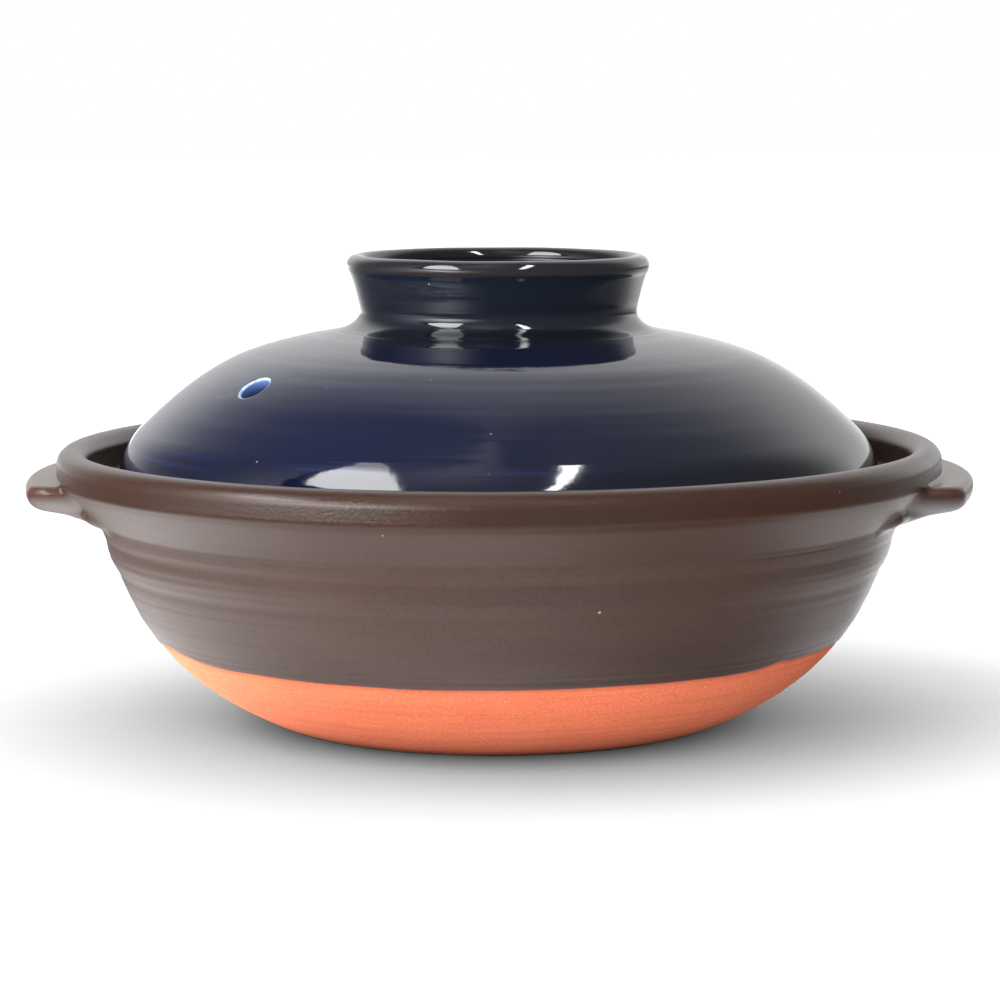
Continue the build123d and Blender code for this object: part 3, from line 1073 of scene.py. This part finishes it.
# ------------------------------------------------------------------ floor
bpy.ops.mesh.primitive_grid_add(size=16.0, x_subdivisions=8, y_subdivisions=8, location=(0, 0, 0))
floor = bpy.context.object
floor.name = "floor"
fm, n, bsdf = material("pale_floor")
bsdf.inputs["Base Color"].default_value = (0.12, 0.12, 0.12, 1)
bsdf.inputs["Roughness"].default_value = 1.0
bsdf.inputs["Specular IOR Level"].default_value = 0.0
floor.data.materials.append(fm)
floor.visible_diffuse = floor.visible_glossy = False

pot_only = bpy.data.collections.new("lit_by_room")
for piece in (bowl, handle_left, handle_right, lid, knob):
    pot_only.objects.link(piece)
floor_only = bpy.data.collections.new("lit_by_wash")
floor_only.objects.link(floor)


def wash(name, towards, spread, strength):
    """Even light for the floor alone, from a wide round patch of the room above it."""
    data = bpy.data.lights.new(name, "SUN")
    data.energy = strength
    data.angle = math.radians(spread)
    data.cycles.use_multiple_importance_sampling = False
    ob = bpy.data.objects.new(name, data)
    bpy.context.scene.collection.objects.link(ob)
    ob.rotation_euler = Vector(towards).to_track_quat("Z", "Y").to_euler()
    ob.light_linking.receiver_collection = floor_only
    return ob


WASH = [
    ("wash_all", (0, 0, 1), 180, 27.2),
    ("wash_left", (-0.75, -0.35, 0.55), 75, 11.0),
]
washes = [wash(*w) for w in WASH]

# ------------------------------------------------------------------ light
# A plain soft studio: a low even light all round, and soft round patches on it. Each patch is given by its bearing
# and spread in degrees, its height and spread in degrees, and its strength. Bearing 0 is in front of the pot and
# -90 on its left: a window low on the left of the front, its glow above, and white card behind and beside the pot.
ROOM_EVEN = 0.27
ROOM = [
    (-40, 18, 8, 10, 8.85),
    (140, 18, 0, 50, 1.13),
    (-70, 18, 0, 50, 1.05),
    (-180, 28, 35, 30, 1.03),
    (-20, 28, 70, 30, 0.78),
    (-150, 18, 16, 50, 0.62),
    (170, 18, 0, 10, 0.5),
    (-180, 42, 70, 18, 0.46),
]
# What the pale table sends up to the pot. A patch here has a distance in metres and a spread as a factor.
GLOSS_EVEN = 0.18
TABLE_GLOSS = [
    (150, 25, 0.09, 5, 3.89),
    (-60, 25, 1.2, 1.6, 2.57),
    (-165, 25, 3, 5, 2.41),
    (-90, 75, 0.14, 1.6, 1.46),
    (90, 25, 0.14, 1.6, 0.65),
    (0, 25, 0.09, 1.6, 0.54),
]
SOFT_EVEN = 0.27
TABLE_SOFT = [
    (-60, 70, 0.11, 2.2, 0.60),
    (25, 60, 0.11, 2.2, 0.35),
    (15, 25, 0.9, 2.5, 17.24),
    (-75, 25, 0.9, 5, 12.5),
]


def glow(name, at, place, away, even, patches, diffuse=True, glossy=True, near=None):
    """A sheet round the pot that lights it and nothing else: rows at the heights or distances of at."""
    turn = np.arange(-180, 180, 5.0)
    level = np.full((len(at), len(turn)), float(even))
    for bearing, wide, mid, high, strength in patches:
        side = (turn - bearing + 180) % 360 - 180
        level += strength * np.exp(-(side / wide) ** 2)[None] * np.exp(-away(at, mid, high) ** 2)[:, None]
    if near is not None:
        level *= near(at)[:, None]
    pts = [place(a, b) for a in at for b in np.radians(turn)]
    me = bpy.data.meshes.new(name)
    me.from_pydata(pts, [], ring_faces(len(at), len(turn)))
    ob = bpy.data.objects.new(name, me)
    bpy.context.scene.collection.objects.link(ob)
    attribute(ob, "level", level.ravel())
    m = bpy.data.materials.new(name)
    m.use_nodes = True
    t = Net(m.node_tree)
    for node in list(t.nodes):
        t.nodes.remove(node)
    em = t.add("ShaderNodeEmission")
    em.inputs["Color"].default_value = (1, 1, 1, 1)
    t.put(em.inputs["Strength"], t.attr("level"))
    t.links.new(em.outputs[0], t.add("ShaderNodeOutputMaterial").inputs[0])
    me.materials.append(m)
    ob.visible_camera = ob.visible_shadow = ob.visible_transmission = False
    ob.visible_diffuse, ob.visible_glossy = diffuse, glossy
    ob.light_linking.receiver_collection = pot_only
    return ob


def room_point(height, bearing):
    e = math.radians(height)
    return 9 * math.cos(e) * math.sin(bearing), -9 * math.cos(e) * math.cos(bearing), 9 * math.sin(e)


def table_point(z):
    return lambda r, bearing: (r * math.sin(bearing), -r * math.cos(bearing), z)


def in_degrees(at, mid, spread):
    return (at - mid) / spread


def in_factors(at, mid, factor):
    return np.log(at / mid) / math.log(factor)


glow("room", np.r_[-1, np.arange(2, 30, 3), np.arange(30, 90, 5), 89.5], room_point, in_degrees, ROOM_EVEN, ROOM)
glow("table_gloss", np.geomspace(0.078, 8.8, 30), table_point(0.0009), in_factors, GLOSS_EVEN, TABLE_GLOSS,
     diffuse=False)
glow("table_soft", np.geomspace(0.066, 8.8, 32), table_point(0.0006), in_factors, SOFT_EVEN, TABLE_SOFT,
     glossy=False, near=lambda r: np.clip((r - 0.065) / 0.03, 0, 1))

# The camera sees plain white behind the pot
world = bpy.data.worlds.new("studio")
bpy.context.scene.world = world
world.use_nodes = True
n = Net(world.node_tree)
for node in list(n.nodes):
    n.nodes.remove(node)
seen = n.add("ShaderNodeBackground")
seen.inputs["Color"].default_value = (1, 1, 1, 1)
n.put(seen.inputs["Strength"], n.add("ShaderNodeLightPath").outputs["Is Camera Ray"])
n.links.new(seen.outputs[0], n.add("ShaderNodeOutputWorld").inputs[0])


def panel_light(name, outline, height, hot, strength, dim, seen_at, lights, diffuse=True, glossy=True):
    """A soft light overhead: outline as slopes from the point of the dome it is seen in, brighter at hot."""
    me = bpy.data.meshes.new(name)
    up = height - seen_at[2]
    pts = [(seen_at[0] + a * up, seen_at[1] + b * up, height) for a, b in outline]
    me.from_pydata(pts, [], [tuple(range(len(pts)))])
    ob = bpy.data.objects.new(name, me)
    bpy.context.scene.collection.objects.link(ob)
    m = bpy.data.materials.new(name)
    m.use_nodes = True
    t = Net(m.node_tree)
    for node in list(t.nodes):
        t.nodes.remove(node)
    em = t.add("ShaderNodeEmission")
    em.inputs["Color"].default_value = (1, 1, 1, 1)
    o = t.coords()
    dd = t.add("ShaderNodeVectorMath", operation="DISTANCE")
    t.put(dd.inputs[0], o)
    dd.inputs[1].default_value = (seen_at[0] + hot[0] * up, seen_at[1] + hot[1] * up, height)
    t.put(em.inputs["Strength"], t.step(dd.outputs["Value"], hot[2] * up, hot[3] * up, strength, dim))
    om = t.add("ShaderNodeOutputMaterial")
    t.links.new(em.outputs[0], om.inputs[0])
    me.materials.append(m)
    ob.visible_camera = ob.visible_shadow = False
    ob.visible_diffuse, ob.visible_glossy = diffuse, glossy
    ob.light_linking.receiver_collection = lights
    return ob


LEFT_BOX = [
    (-0.345, -0.03), (-0.345, -0.15), (-0.44, -0.555), (-0.60, -1.06), (-0.78, -1.55), (-1.45, -1.30),
    (-1.50, -0.80), (-1.124, -0.507), (-0.826, -0.307), (-0.602, -0.156), (-0.44, -0.02),
]
RIGHT_BOX = [
    (0.205, -0.09), (0.262, -0.30), (0.30, -0.55), (0.375, -0.85), (0.43, -1.30), (0.54, -1.30), (0.45, -0.85),
    (0.395, -0.58), (0.325, -0.27), (0.27, -0.07),
]
left_at, right_at = (-0.045, -0.100, 0.094), (0.020, -0.103, 0.094)
WIDE_LEFT = [
    (-0.352, -0.125), (-0.481, -0.615), (-0.636, -1.06), (-0.80, -1.55), (-1.9, -1.35), (-1.95, -0.72),
    (-1.513, -0.52), (-0.68, -0.17),
]
WIDE_RIGHT = [
    (0.20, -0.035), (0.239, -0.247), (0.300, -0.56), (0.367, -1.007), (0.43, -1.5), (0.52, -1.5),
    (0.45, -1.08), (0.385, -0.616), (0.305, -0.247),
]
lid_only = bpy.data.collections.new("lid_and_knob")
bowl_only = bpy.data.collections.new("bowl_and_lugs")
for piece in (lid, knob):
    lid_only.objects.link(piece)
for piece in (bowl, handle_left, handle_right):
    bowl_only.objects.link(piece)
panel_light("softbox_left", LEFT_BOX, 1.15, (-0.95, -0.95, 0.72, 1.02), 14.0, 4.5, left_at, lid_only, diffuse=False)
panel_light("softbox_right", RIGHT_BOX, 1.15, (0.36, -0.70, 0.60, 0.9), 32.0, 24.0, right_at, lid_only, diffuse=False)
panel_light("window_left", WIDE_LEFT, 1.152, (-1.30, -1.05, 0.35, 1.15), 16.5, 2.2, left_at, bowl_only, diffuse=False)
panel_light("window_right", WIDE_RIGHT, 1.152, (0.42, -1.15, 0.30, 1.0), 9.0, 1.5, right_at, bowl_only, diffuse=False)
panel_light("fill_left", WIDE_LEFT, 1.151, (-1.15, -1.05, 0.35, 1.15), 12.4, 1.8, left_at, pot_only, glossy=False)
panel_light("fill_right", WIDE_RIGHT, 1.151, (0.42, -1.15, 0.30, 1.0), 14.6, 2.0, right_at, pot_only, glossy=False)
